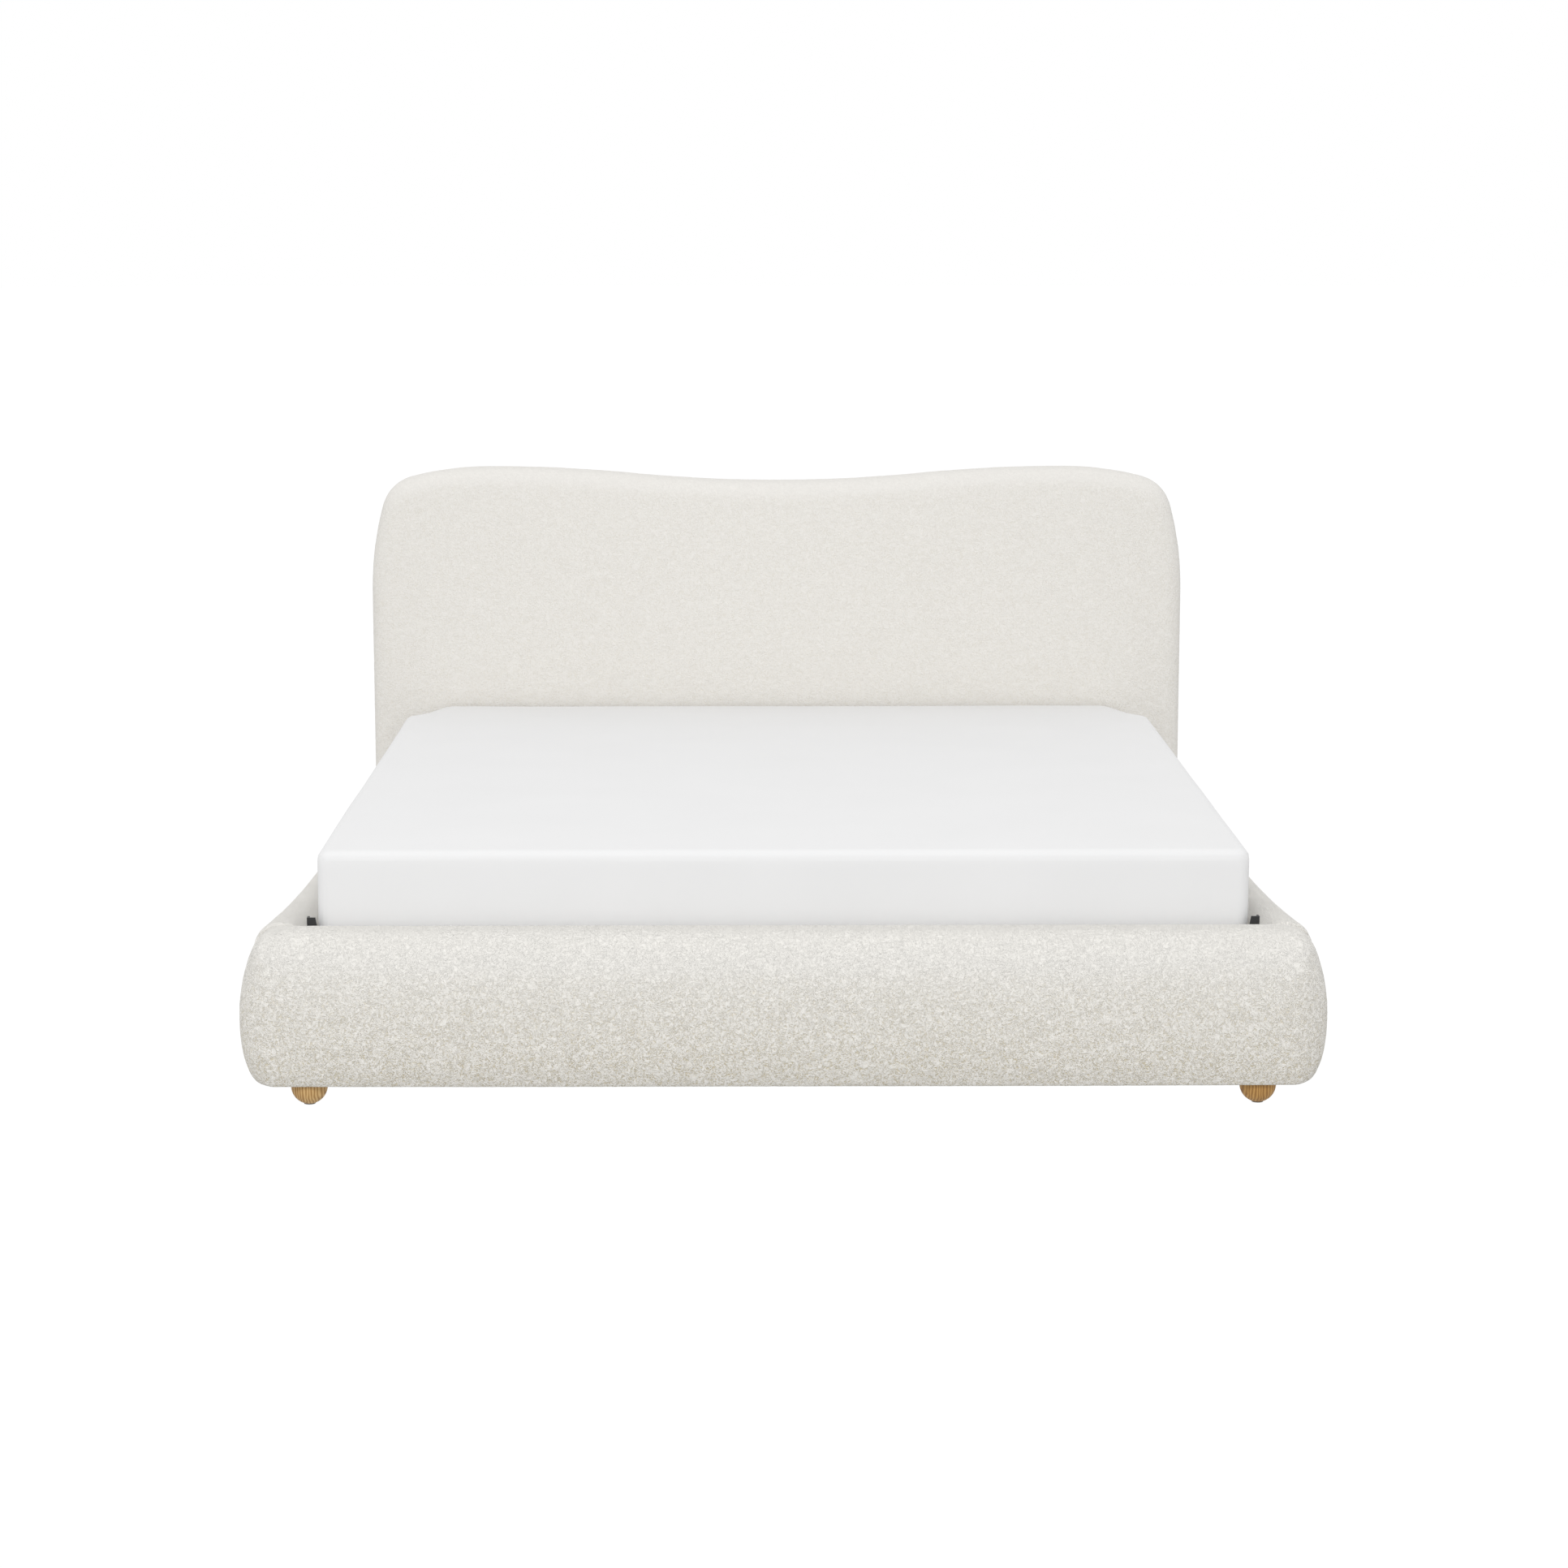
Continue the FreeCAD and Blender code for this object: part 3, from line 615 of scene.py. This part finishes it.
# ---- headboard ----------------------------------------------------------------------------------
def wave_outline(half, dip, low):
    """Points and outward normals of the headboard's front view, from its right foot over to its left."""
    radius = ((CREST_X / 2) ** 2 + (CREST_RISE / 2) ** 2) / CREST_RISE
    turn = math.asin(CREST_X / 2 / radius)
    steep = SHOULDER_TURN + CORNER_TURN
    reached = CREST_X + SHOULDER_RADIUS * math.sin(SHOULDER_TURN)
    reached += CORNER_RADIUS * (math.sin(steep) - math.sin(SHOULDER_TURN))
    flank = (half - reached) / (1 - math.sin(steep))
    arcs = ((radius, turn), (radius, -turn), (SHOULDER_RADIUS, -SHOULDER_TURN),
            (CORNER_RADIUS, -CORNER_TURN), (flank, steep - math.pi / 2))
    here = np.array([0.0, dip])
    heading = 0.0
    side = []
    for size, bend in arcs:
        arm = math.copysign(size, bend)
        centre = here + arm * np.array([-math.sin(heading), math.cos(heading)])
        steps = max(2, round(size * abs(bend) / OUTLINE_STEP))
        for k in range(1, steps + 1):
            angle = heading + bend * k / steps
            up = np.array([-math.sin(angle), math.cos(angle)])
            side.append((centre - arm * up, up))
        here = side[-1][0]
        heading += bend
    drop = round((here[1] - low) / OUTLINE_STEP)
    out = np.array([1.0, 0.0])
    side += [(here + np.array([0.0, (low - here[1]) * k / drop]), out) for k in range(1, drop + 1)]
    flip = np.array([-1.0, 1.0])
    left = [(point * flip, normal * flip) for point, normal in side]
    return side[::-1] + [(np.array([0.0, dip]), np.array([0.0, 1.0]))] + left


def drawn_in(outline, inset):
    """The outline's points moved in along their normals."""
    return np.array([point - normal * inset for point, normal in outline])


def outline_ring(outline, inset, y):
    return [(x, y, z) for x, z in drawn_in(outline, inset)]


def inside_outline(points, outline, inset):
    """Which points lie within the headboard's front view drawn in by inset."""
    edge = drawn_in(outline, inset)
    right = edge[edge[:, 0] > 0]
    right = right[np.argsort(right[:, 0])]
    across = np.abs(points[:, 0])
    top = np.interp(across, right[:, 0], right[:, 1])
    low = edge[:, 1].min()
    return (across < edge[:, 0].max()) & (points[:, 2] < top) & (points[:, 2] > low + inset)


def headboard():
    low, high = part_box("headboard_cover")
    outline = wave_outline(high.x, high.z - CREST_RISE, low.z)
    front, back = low.y, high.y
    rings = [outline_ring(outline, HEADBOARD_BACK_ROLL, back)]
    for angle in quarter_turn(BACK_ROLL_RINGS)[1:]:
        rings.append(outline_ring(outline, HEADBOARD_BACK_ROLL * (1 - math.sin(angle)),
                                  back - HEADBOARD_BACK_ROLL * (1 - math.cos(angle))))
    for angle in quarter_turn(FRONT_ROLL_RINGS):
        rings.append(outline_ring(outline, HEADBOARD_ROLL * (1 - math.cos(angle)),
                                  front + HEADBOARD_ROLL * (1 - math.sin(angle))))
    piece = loft("headboard_upholstery", rings)
    fit(piece, low + Vector((0, SHRINK, 0)), high)
    remesh(piece, HEADBOARD_VOXEL)
    relax(piece, HEADBOARD_RELAX)
    open_back(piece, outline, back)
    rim = front + HEADBOARD_ROLL
    swell(piece, lambda p: (p[:, 1] > rim) | (p[:, 2] < low.z + EDGE_BAND), HEADBOARD_SWELL)
    fit(piece, low, high)
    square_lower_back(piece, low.z, back)
    subdivide(piece)
    roughen(piece, LOOP_HEIGHT, LOOP_SIZE, lambda p: p[:, 1] < back - EDGE_BAND)
    finish_soft(piece, "bed_frame", BOUCLE_TAUT_LESS_SHADE, ["headboard_cover", "headboard_foam"])


def open_back(piece, outline, back):
    """Take away the cloth that the back cloth hides."""
    mesh = bmesh.new()
    mesh.from_mesh(piece.data)
    faces = [face for face in mesh.faces if face.calc_center_median().y > back - EDGE_BAND]
    middles = np.array([face.calc_center_median() for face in faces])
    hidden = inside_outline(middles, outline, BACK_MARGIN + BACK_LAP)
    bmesh.ops.delete(mesh, geom=[face for face, gone in zip(faces, hidden) if gone], context="FACES")
    mesh.to_mesh(piece.data)
    mesh.free()


def back_cloth():
    """The thin cloth stretched over the headboard's back, hemmed and stapled round its edge."""
    low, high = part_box("headboard_back_cloth")
    board_low, board_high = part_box("headboard_cover")
    outline = wave_outline(board_high.x, board_high.z - CREST_RISE, board_low.z)
    edge = drawn_in(outline, BACK_MARGIN)
    edge[:, 1] = np.maximum(edge[:, 1], low.z)
    steps = round(2 * high.x / OUTLINE_STEP)
    edge = np.vstack([edge, np.linspace(edge[-1], edge[0], steps)[1:-1]])  # along the lower edge
    middle = np.array([0.0, (low.z + high.z) / 2])
    rings = [cloth_ring(edge, middle, 1 - inset / high.x, high.y + proud) for inset, proud in HEM]
    rings += [cloth_ring(edge, middle, share, high.y + CLOTH_PROUD) for share in CLOTH_ROWS]
    count = len(edge)
    faces = [(a, d, c, b) for a, b, c, d in bands(rings)]
    faces.append(tuple((len(rings) - 1) * count + k for k in reversed(range(count))))
    piece = new_piece("back_cloth_sheet", [point for ring in rings for point in ring], faces)
    ripple(piece, high.y + HEM_PROUD)
    piece.data.materials.append(NODE_MATERIALS["back_cloth"])
    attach(piece, "bed_frame")
    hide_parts("headboard_back_cloth")
    pins = staples(edge, middle, high.y + HEM_PROUD)


def cloth_ring(edge, middle, share, y):
    """The cloth's edge shrunk towards its middle."""
    return [(share * x, y, middle[1] + share * (z - middle[1])) for x, z in edge]


def ripple(piece, hem_y):
    """Let the cloth wave a little between its staples."""
    points = points_of(piece)
    loose = points[:, 1] < hem_y - RIPPLE_BAND
    places = points * (RIPPLES_PER_METRE, 0.0, RIPPLES_PER_METRE)
    wave = np.array([noise.noise(Vector(place)) for place in places])
    points[:, 1] += np.where(loose, RIPPLE_HEIGHT * wave + RIPPLE_LIFT, 0.0)
    set_points(piece, points)


def staples(edge, middle, y):
    """Wire staples along the hem, a hand's width apart."""
    lengths = np.cumsum(np.linalg.norm(np.diff(edge, axis=0), axis=1))
    lengths = np.concatenate(([0.0], lengths))
    vertices = []
    faces = []
    for place in np.arange(STAPLE_PITCH / 2, lengths[-1], STAPLE_PITCH):
        at = point_along(edge, lengths, place)
        ahead = point_along(edge, lengths, place + STAPLE_AHEAD)
        along = (ahead - at) / np.linalg.norm(ahead - at)
        across = np.array([-along[1], along[0]])
        across *= np.sign(np.dot(middle - at, across))
        centre = at + across * STAPLE_INSET
        first = len(vertices)
        for rise, spread in ((0.0, 1.0), (STAPLE_WIRE, STAPLE_TAPER)):
            for a, b in ((-1, -1), (1, -1), (1, 1), (-1, 1)):
                flat = centre + along * (a * STAPLE_HALF * spread)
                flat = flat + across * (b * STAPLE_WIRE / 2 * spread)
                vertices.append((flat[0], y + rise, flat[1]))
        faces.append(tuple(first + k for k in (4, 5, 6, 7)))
        faces.append(tuple(first + k for k in (3, 2, 1, 0)))
        for k in range(4):
            nxt = (k + 1) % 4
            faces.append((first + k, first + nxt, first + 4 + nxt, first + 4 + k))
    piece = new_piece("back_cloth_staples", vertices, faces)
    face_outwards(piece)
    piece.data.materials.append(NODE_MATERIALS["zinc_steel"])
    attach(piece, "bed_frame")
    return piece


def point_along(edge, lengths, place):
    """The point that lies this far along the edge."""
    return np.array([np.interp(place, lengths, edge[:, axis]) for axis in (0, 1)])


# ---- footboard ----------------------------------------------------------------------------------
def footboard_profile(low, high):
    """The footboard's side view: flat inside, one full curve over the top and down the front."""
    front, back = low.y, high.y
    waist = low.z + BELLY * (high.z - low.z)
    points = []
    for turn in np.linspace(0.0, math.pi / 2, ROLL_POINTS):
        points.append((front + ROLL_DEPTH * (1 - math.sin(turn) ** (2 / ROLL_POWER)),
                       waist + (high.z - waist) * max(0.0, math.cos(turn)) ** (2 / ROLL_POWER)))
    for z in np.linspace(waist, low.z, FACE_POINTS)[1:]:
        points.append((front + FRONT_TUCK * ((waist - z) / (waist - low.z)) ** TUCK_POWER, z))
    for y in np.linspace(points[-1][0], back, FACE_POINTS)[1:]:
        points.append((y, low.z))
    for z in np.linspace(low.z, high.z - BACK_EDGE, BACK_POINTS)[1:]:
        points.append((back, z))
    for turn in np.linspace(0.0, math.pi / 2, EDGE_POINTS)[1:]:
        points.append((back - BACK_EDGE * (1 - math.cos(turn)),
                       high.z - BACK_EDGE * (1 - math.sin(turn))))
    for y in np.linspace(back - BACK_EDGE, front + ROLL_DEPTH, TOP_POINTS)[1:-1]:
        points.append((y, high.z))
    return points


def footboard_reach(y, z, low, high):
    """Half-width of the footboard at a depth and height: its end's side view less its plan corner."""
    waist = low.z + BELLY * (high.z - low.z)
    side = high.z - END_ROLL
    if z < waist:
        end = high.x - END_TUCK * ((waist - z) / (waist - low.z)) ** TUCK_POWER
    else:
        end = high.x - END_LEAN * ((z - waist) / (high.z - waist)) ** 2
    if z > side:
        end -= END_ROLL - math.sqrt(max(0.0, END_ROLL ** 2 - (z - side) ** 2))
    ahead = max(0.0, low.y + PLAN_CORNER - y)
    corner = PLAN_CORNER - math.sqrt(max(0.0, PLAN_CORNER ** 2 - ahead ** 2))
    return end - corner


def footboard():
    low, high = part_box("footboard_cover")
    profile = np.array(footboard_profile(low, high))
    heart = np.array([(low.y + high.y) / 2 + HEART_BACK, (low.z + high.z) / 2])
    ends = []
    for share in END_SHARES:
        smaller = heart + (profile - heart) * share
        ends.append([(footboard_reach(y, z, low, high), y, z) for y, z in smaller])
    left = [[(-x, y, z) for x, y, z in ring] for ring in ends]
    piece = loft("footboard_upholstery", left + list(reversed(ends)))
    fit(piece, low + Vector((0, SHRINK, 0)), high)
    remesh(piece, PAD_VOXEL)
    relax(piece, RELAX_ROUNDS)
    swell(piece, lambda p: (p[:, 1] > high.y - EDGE_BAND) | (p[:, 2] < low.z + EDGE_BAND)
          | (np.abs(p[:, 0]) > high.x - PLAN_CORNER), FOOTBOARD_SWELL)
    fit(piece, low, high)
    subdivide(piece)
    roughen(piece, LOOP_HEIGHT, LOOP_SIZE)
    aside, behind, below = PINCH_PLACE
    for side in (-1, 1):
        place = (side * (high.x - aside), low.y + behind, high.z - below)
        pinch(piece, place, PINCH_RADIUS, PINCH_DEPTH)
    finish_soft(piece, "bed_frame", BOUCLE, ["footboard_cover", "footboard_foam"])


# ---- side rails ---------------------------------------------------------------------------------
def rail_ring(y, inner, low, top, belly, side):
    """One cross-section of a rail: flat inside, a half-round roll on top, full on the outside."""
    roll = (belly - RAIL_LEAN - inner) / 2
    points = [(inner, low + (top - roll - low) * k / INSIDE_STEPS) for k in range(INSIDE_STEPS + 1)]
    for k in range(1, ROLL_STEPS + 1):
        angle = math.pi * k / ROLL_STEPS
        points.append((inner + roll - roll * math.cos(angle), top - roll + roll * math.sin(angle)))
    waist = low + BELLY * (top - low)
    start = top - roll
    for k in range(1, OUTSIDE_STEPS + 1):
        z = start + (low - start) * k / OUTSIDE_STEPS
        if z > waist:
            x = belly - RAIL_LEAN * ((z - waist) / (start - waist)) ** 2
        else:
            x = belly - RAIL_TUCK * ((waist - z) / (waist - low)) ** 2
        points.append((x, z))
    width = points[-1][0] - inner
    points += [(inner + width * (1 - k / UNDERSIDE_STEPS), low) for k in range(1, UNDERSIDE_STEPS)]
    return [(side * x, y, z) for x, z in points]


def rail(name, side):
    low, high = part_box(name + "_rail_cover")
    inner = min(abs(low.x), abs(high.x))
    outer = max(abs(low.x), abs(high.x))
    rings = []
    for share in np.linspace(0.0, 1.0, RAIL_RINGS):
        y = low.y + (high.y - low.y) * share
        flare = 1 - (1 - share) ** FLARE_POWER
        top = high.z - RAIL_FALL * flare
        belly = outer - RAIL_FLARE * flare
        rings.append(rail_ring(y, inner, low.z, top, belly, side))
    piece = loft(name + "_rail_upholstery", rings)
    remesh(piece, PAD_VOXEL)
    relax(piece, RELAX_ROUNDS)
    swell(piece, lambda p: (p[:, 1] < low.y + EDGE_BAND) | (p[:, 1] > high.y - EDGE_BAND)
          | (p[:, 2] < low.z + EDGE_BAND) | (np.abs(p[:, 0]) < inner + EDGE_BAND), RAIL_SWELL)
    fit(piece, low, high)
    subdivide(piece)
    roughen(piece, LOOP_HEIGHT, LOOP_SIZE)
    finish_soft(piece, "bed_frame", BOUCLE, [name + "_rail_cover", name + "_rail_foam"])


# ---- mattress -----------------------------------------------------------------------------------
def mattress_ring(low, high, inset, z):
    """The mattress's plan drawn in by inset: tight front corners and large rear ones."""
    points = []
    for corner, (sx, sy) in enumerate(((1, 1), (-1, 1), (-1, -1), (1, -1))):
        radius = (REAR_CORNER if sy > 0 else FRONT_CORNER) - inset * CORNER_SHARE
        x = sx * (high.x - inset - radius)
        y = (high.y - inset - radius) if sy > 0 else (low.y + inset + radius)
        for angle in np.radians(90 * corner + np.linspace(0.0, 90.0, CORNER_POINTS)):
            points.append((x + radius * math.cos(angle), y + radius * math.sin(angle), z))
    return points


def mattress():
    low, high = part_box("mattress_cover")
    rings = []
    for turn in quarter_turn(EDGE_RINGS):
        inset = MATTRESS_EDGE * (1 - math.sin(turn))
        rings.append(mattress_ring(low, high, inset, low.z + MATTRESS_EDGE * (1 - math.cos(turn))))
    for turn in quarter_turn(EDGE_RINGS):
        inset = MATTRESS_EDGE * (1 - math.cos(turn))
        rings.append(mattress_ring(low, high, inset, high.z - MATTRESS_EDGE * (1 - math.sin(turn))))
    piece = loft("mattress_upholstery", rings)
    fit(piece, low, high - Vector((0, 0, SHRINK)))
    remesh(piece, MATTRESS_VOXEL)
    relax(piece, 1)
    swell(piece, lambda p: p[:, 2] < high.z - MATTRESS_HELD, MATTRESS_SWELL)
    drop_rear_edge(piece, high)
    fit(piece, low, high)
    roughen(piece, WAVE_HEIGHT, WAVE_SIZE)
    nodes = ["mattress_core", "mattress_cover"]
    finish_soft(piece, "mattress", MATTRESS, nodes)


def drop_rear_edge(piece, high):
    """Ease the top of the mattress down towards its rear corners."""
    points = points_of(piece)
    out = np.clip((np.abs(points[:, 0]) - high.x + REAR_SLOPE) / REAR_SLOPE, 0, 1)
    back = np.clip((points[:, 1] - high.y + 2 * REAR_SLOPE) / (2 * REAR_SLOPE), 0, 1)
    up = np.clip((points[:, 2] - high.z + 2 * REAR_SLOPE) / (2 * REAR_SLOPE), 0, 1)
    points[:, 2] -= REAR_DROP * up * (out * back) ** DROP_POWER
    set_points(piece, points)


# ---- feet ---------------------------------------------------------------------------------------
def turned_foot(name, material):
    """A ball foot as it comes off the lathe."""
    low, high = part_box(name)
    radius = (high.x - low.x) / 2
    centre = ((low.x + high.x) / 2, (low.y + high.y) / 2, radius)
    rings = []
    for z in low.z + (high.z - low.z) * (1 - np.cos(np.linspace(0, math.pi / 2, FOOT_RINGS))):
        reach = math.sqrt(radius ** 2 - (z - centre[2]) ** 2)
        rings.append([(centre[0] + reach * math.cos(turn), centre[1] + reach * math.sin(turn), z)
                      for turn in np.linspace(0, 2 * math.pi, FOOT_SIDES, endpoint=False)])
    piece = loft(name + "_turned", rings)
    piece.data.materials.append(material)
    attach(piece, "bed_frame")
    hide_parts(name)


# ---- floor, light and camera --------------------------------------------------------------------
def floor():
    """A plain white floor that neither lights nor shades the bed."""
    bpy.ops.mesh.primitive_circle_add(vertices=96, radius=FLOOR_RADIUS, fill_type="NGON")
    piece = bpy.context.object
    piece.name = "floor"
    shader = Shader("floor", 0.9, Specular_IOR_Level=0.0, Emission_Strength=1.0)
    shader.surface.inputs["Emission Color"].default_value = (1.0, 1.0, 1.0, 1.0)
    shader.surface.inputs["Base Color"].default_value = (0.02, 0.02, 0.02, 1.0)
    piece.data.materials.append(shader.material)
    piece.visible_diffuse = False
    piece.visible_glossy = False
    piece.visible_shadow = False


def sky():
    """Soft surroundings, brighter above than below, that the camera itself sees as plain white."""
    world = bpy.data.worlds.new("studio")
    bpy.context.scene.world = world
    world.use_nodes = True
    nodes, links = world.node_tree.nodes, world.node_tree.links
    split = nodes.new("ShaderNodeSeparateXYZ")
    links.new(nodes.new("ShaderNodeTexCoord").outputs["Generated"], split.inputs[0])
    level = nodes.new("ShaderNodeMapRange")
    level.interpolation_type = "SMOOTHSTEP"
    level.inputs["From Min"].default_value = -HORIZON_BAND
    level.inputs["From Max"].default_value = HORIZON_BAND
    level.inputs["To Min"].default_value = LIGHT_FROM_BELOW
    level.inputs["To Max"].default_value = LIGHT_FROM_ABOVE
    links.new(split.outputs["Z"], level.inputs["Value"])
    links.new(level.outputs["Result"], nodes["Background"].inputs["Strength"])
    seen = nodes.new("ShaderNodeBackground")
    choice = nodes.new("ShaderNodeMixShader")
    links.new(nodes.new("ShaderNodeLightPath").outputs["Is Camera Ray"], choice.inputs["Fac"])
    links.new(nodes["Background"].outputs[0], choice.inputs[1])
    links.new(seen.outputs[0], choice.inputs[2])
    links.new(choice.outputs[0], nodes["World Output"].inputs["Surface"])
    for node in (nodes["Background"], seen):
        node.inputs["Color"].default_value = (1.0, 1.0, 1.0, 1.0)


def lamp(name, place, target, size, power):
    data = bpy.data.lights.new(name, "AREA")
    data.shape = "RECTANGLE"
    data.size, data.size_y = size
    data.energy = power
    lamp_object = bpy.data.objects.new(name, data)
    lamp_object.location = place
    lamp_object.rotation_euler = (Vector(target) - Vector(place)).to_track_quat("-Z", "Y").to_euler()
    bpy.context.collection.objects.link(lamp_object)


def camera():
    data = bpy.data.cameras.new("camera")
    data.lens = CAMERA_LENS
    data.sensor_width = 36.0
    data.clip_end = CAMERA_REACH
    eye = bpy.data.objects.new("camera", data)
    eye.location = CAMERA_PLACE
    eye.rotation_euler = (math.pi / 2 - CAMERA_TILT, 0.0, CAMERA_YAW)
    bpy.context.collection.objects.link(eye)
    bpy.context.scene.camera = eye


dress_nodes()
headboard()
footboard()
back_cloth()
rail("right", 1)
rail("left", -1)
mattress()
# The right-hand feet get the darker copy of the oak: painted shade.
for end in ("front", "rear"):
    turned_foot(end + "_left_foot", OAK)
    turned_foot(end + "_right_foot", OAK_SHADED)
floor()
sky()
lamp("key", KEY_PLACE, KEY_TARGET, KEY_SIZE, KEY_POWER)
camera()
bpy.context.scene.view_settings.view_transform = "Standard"
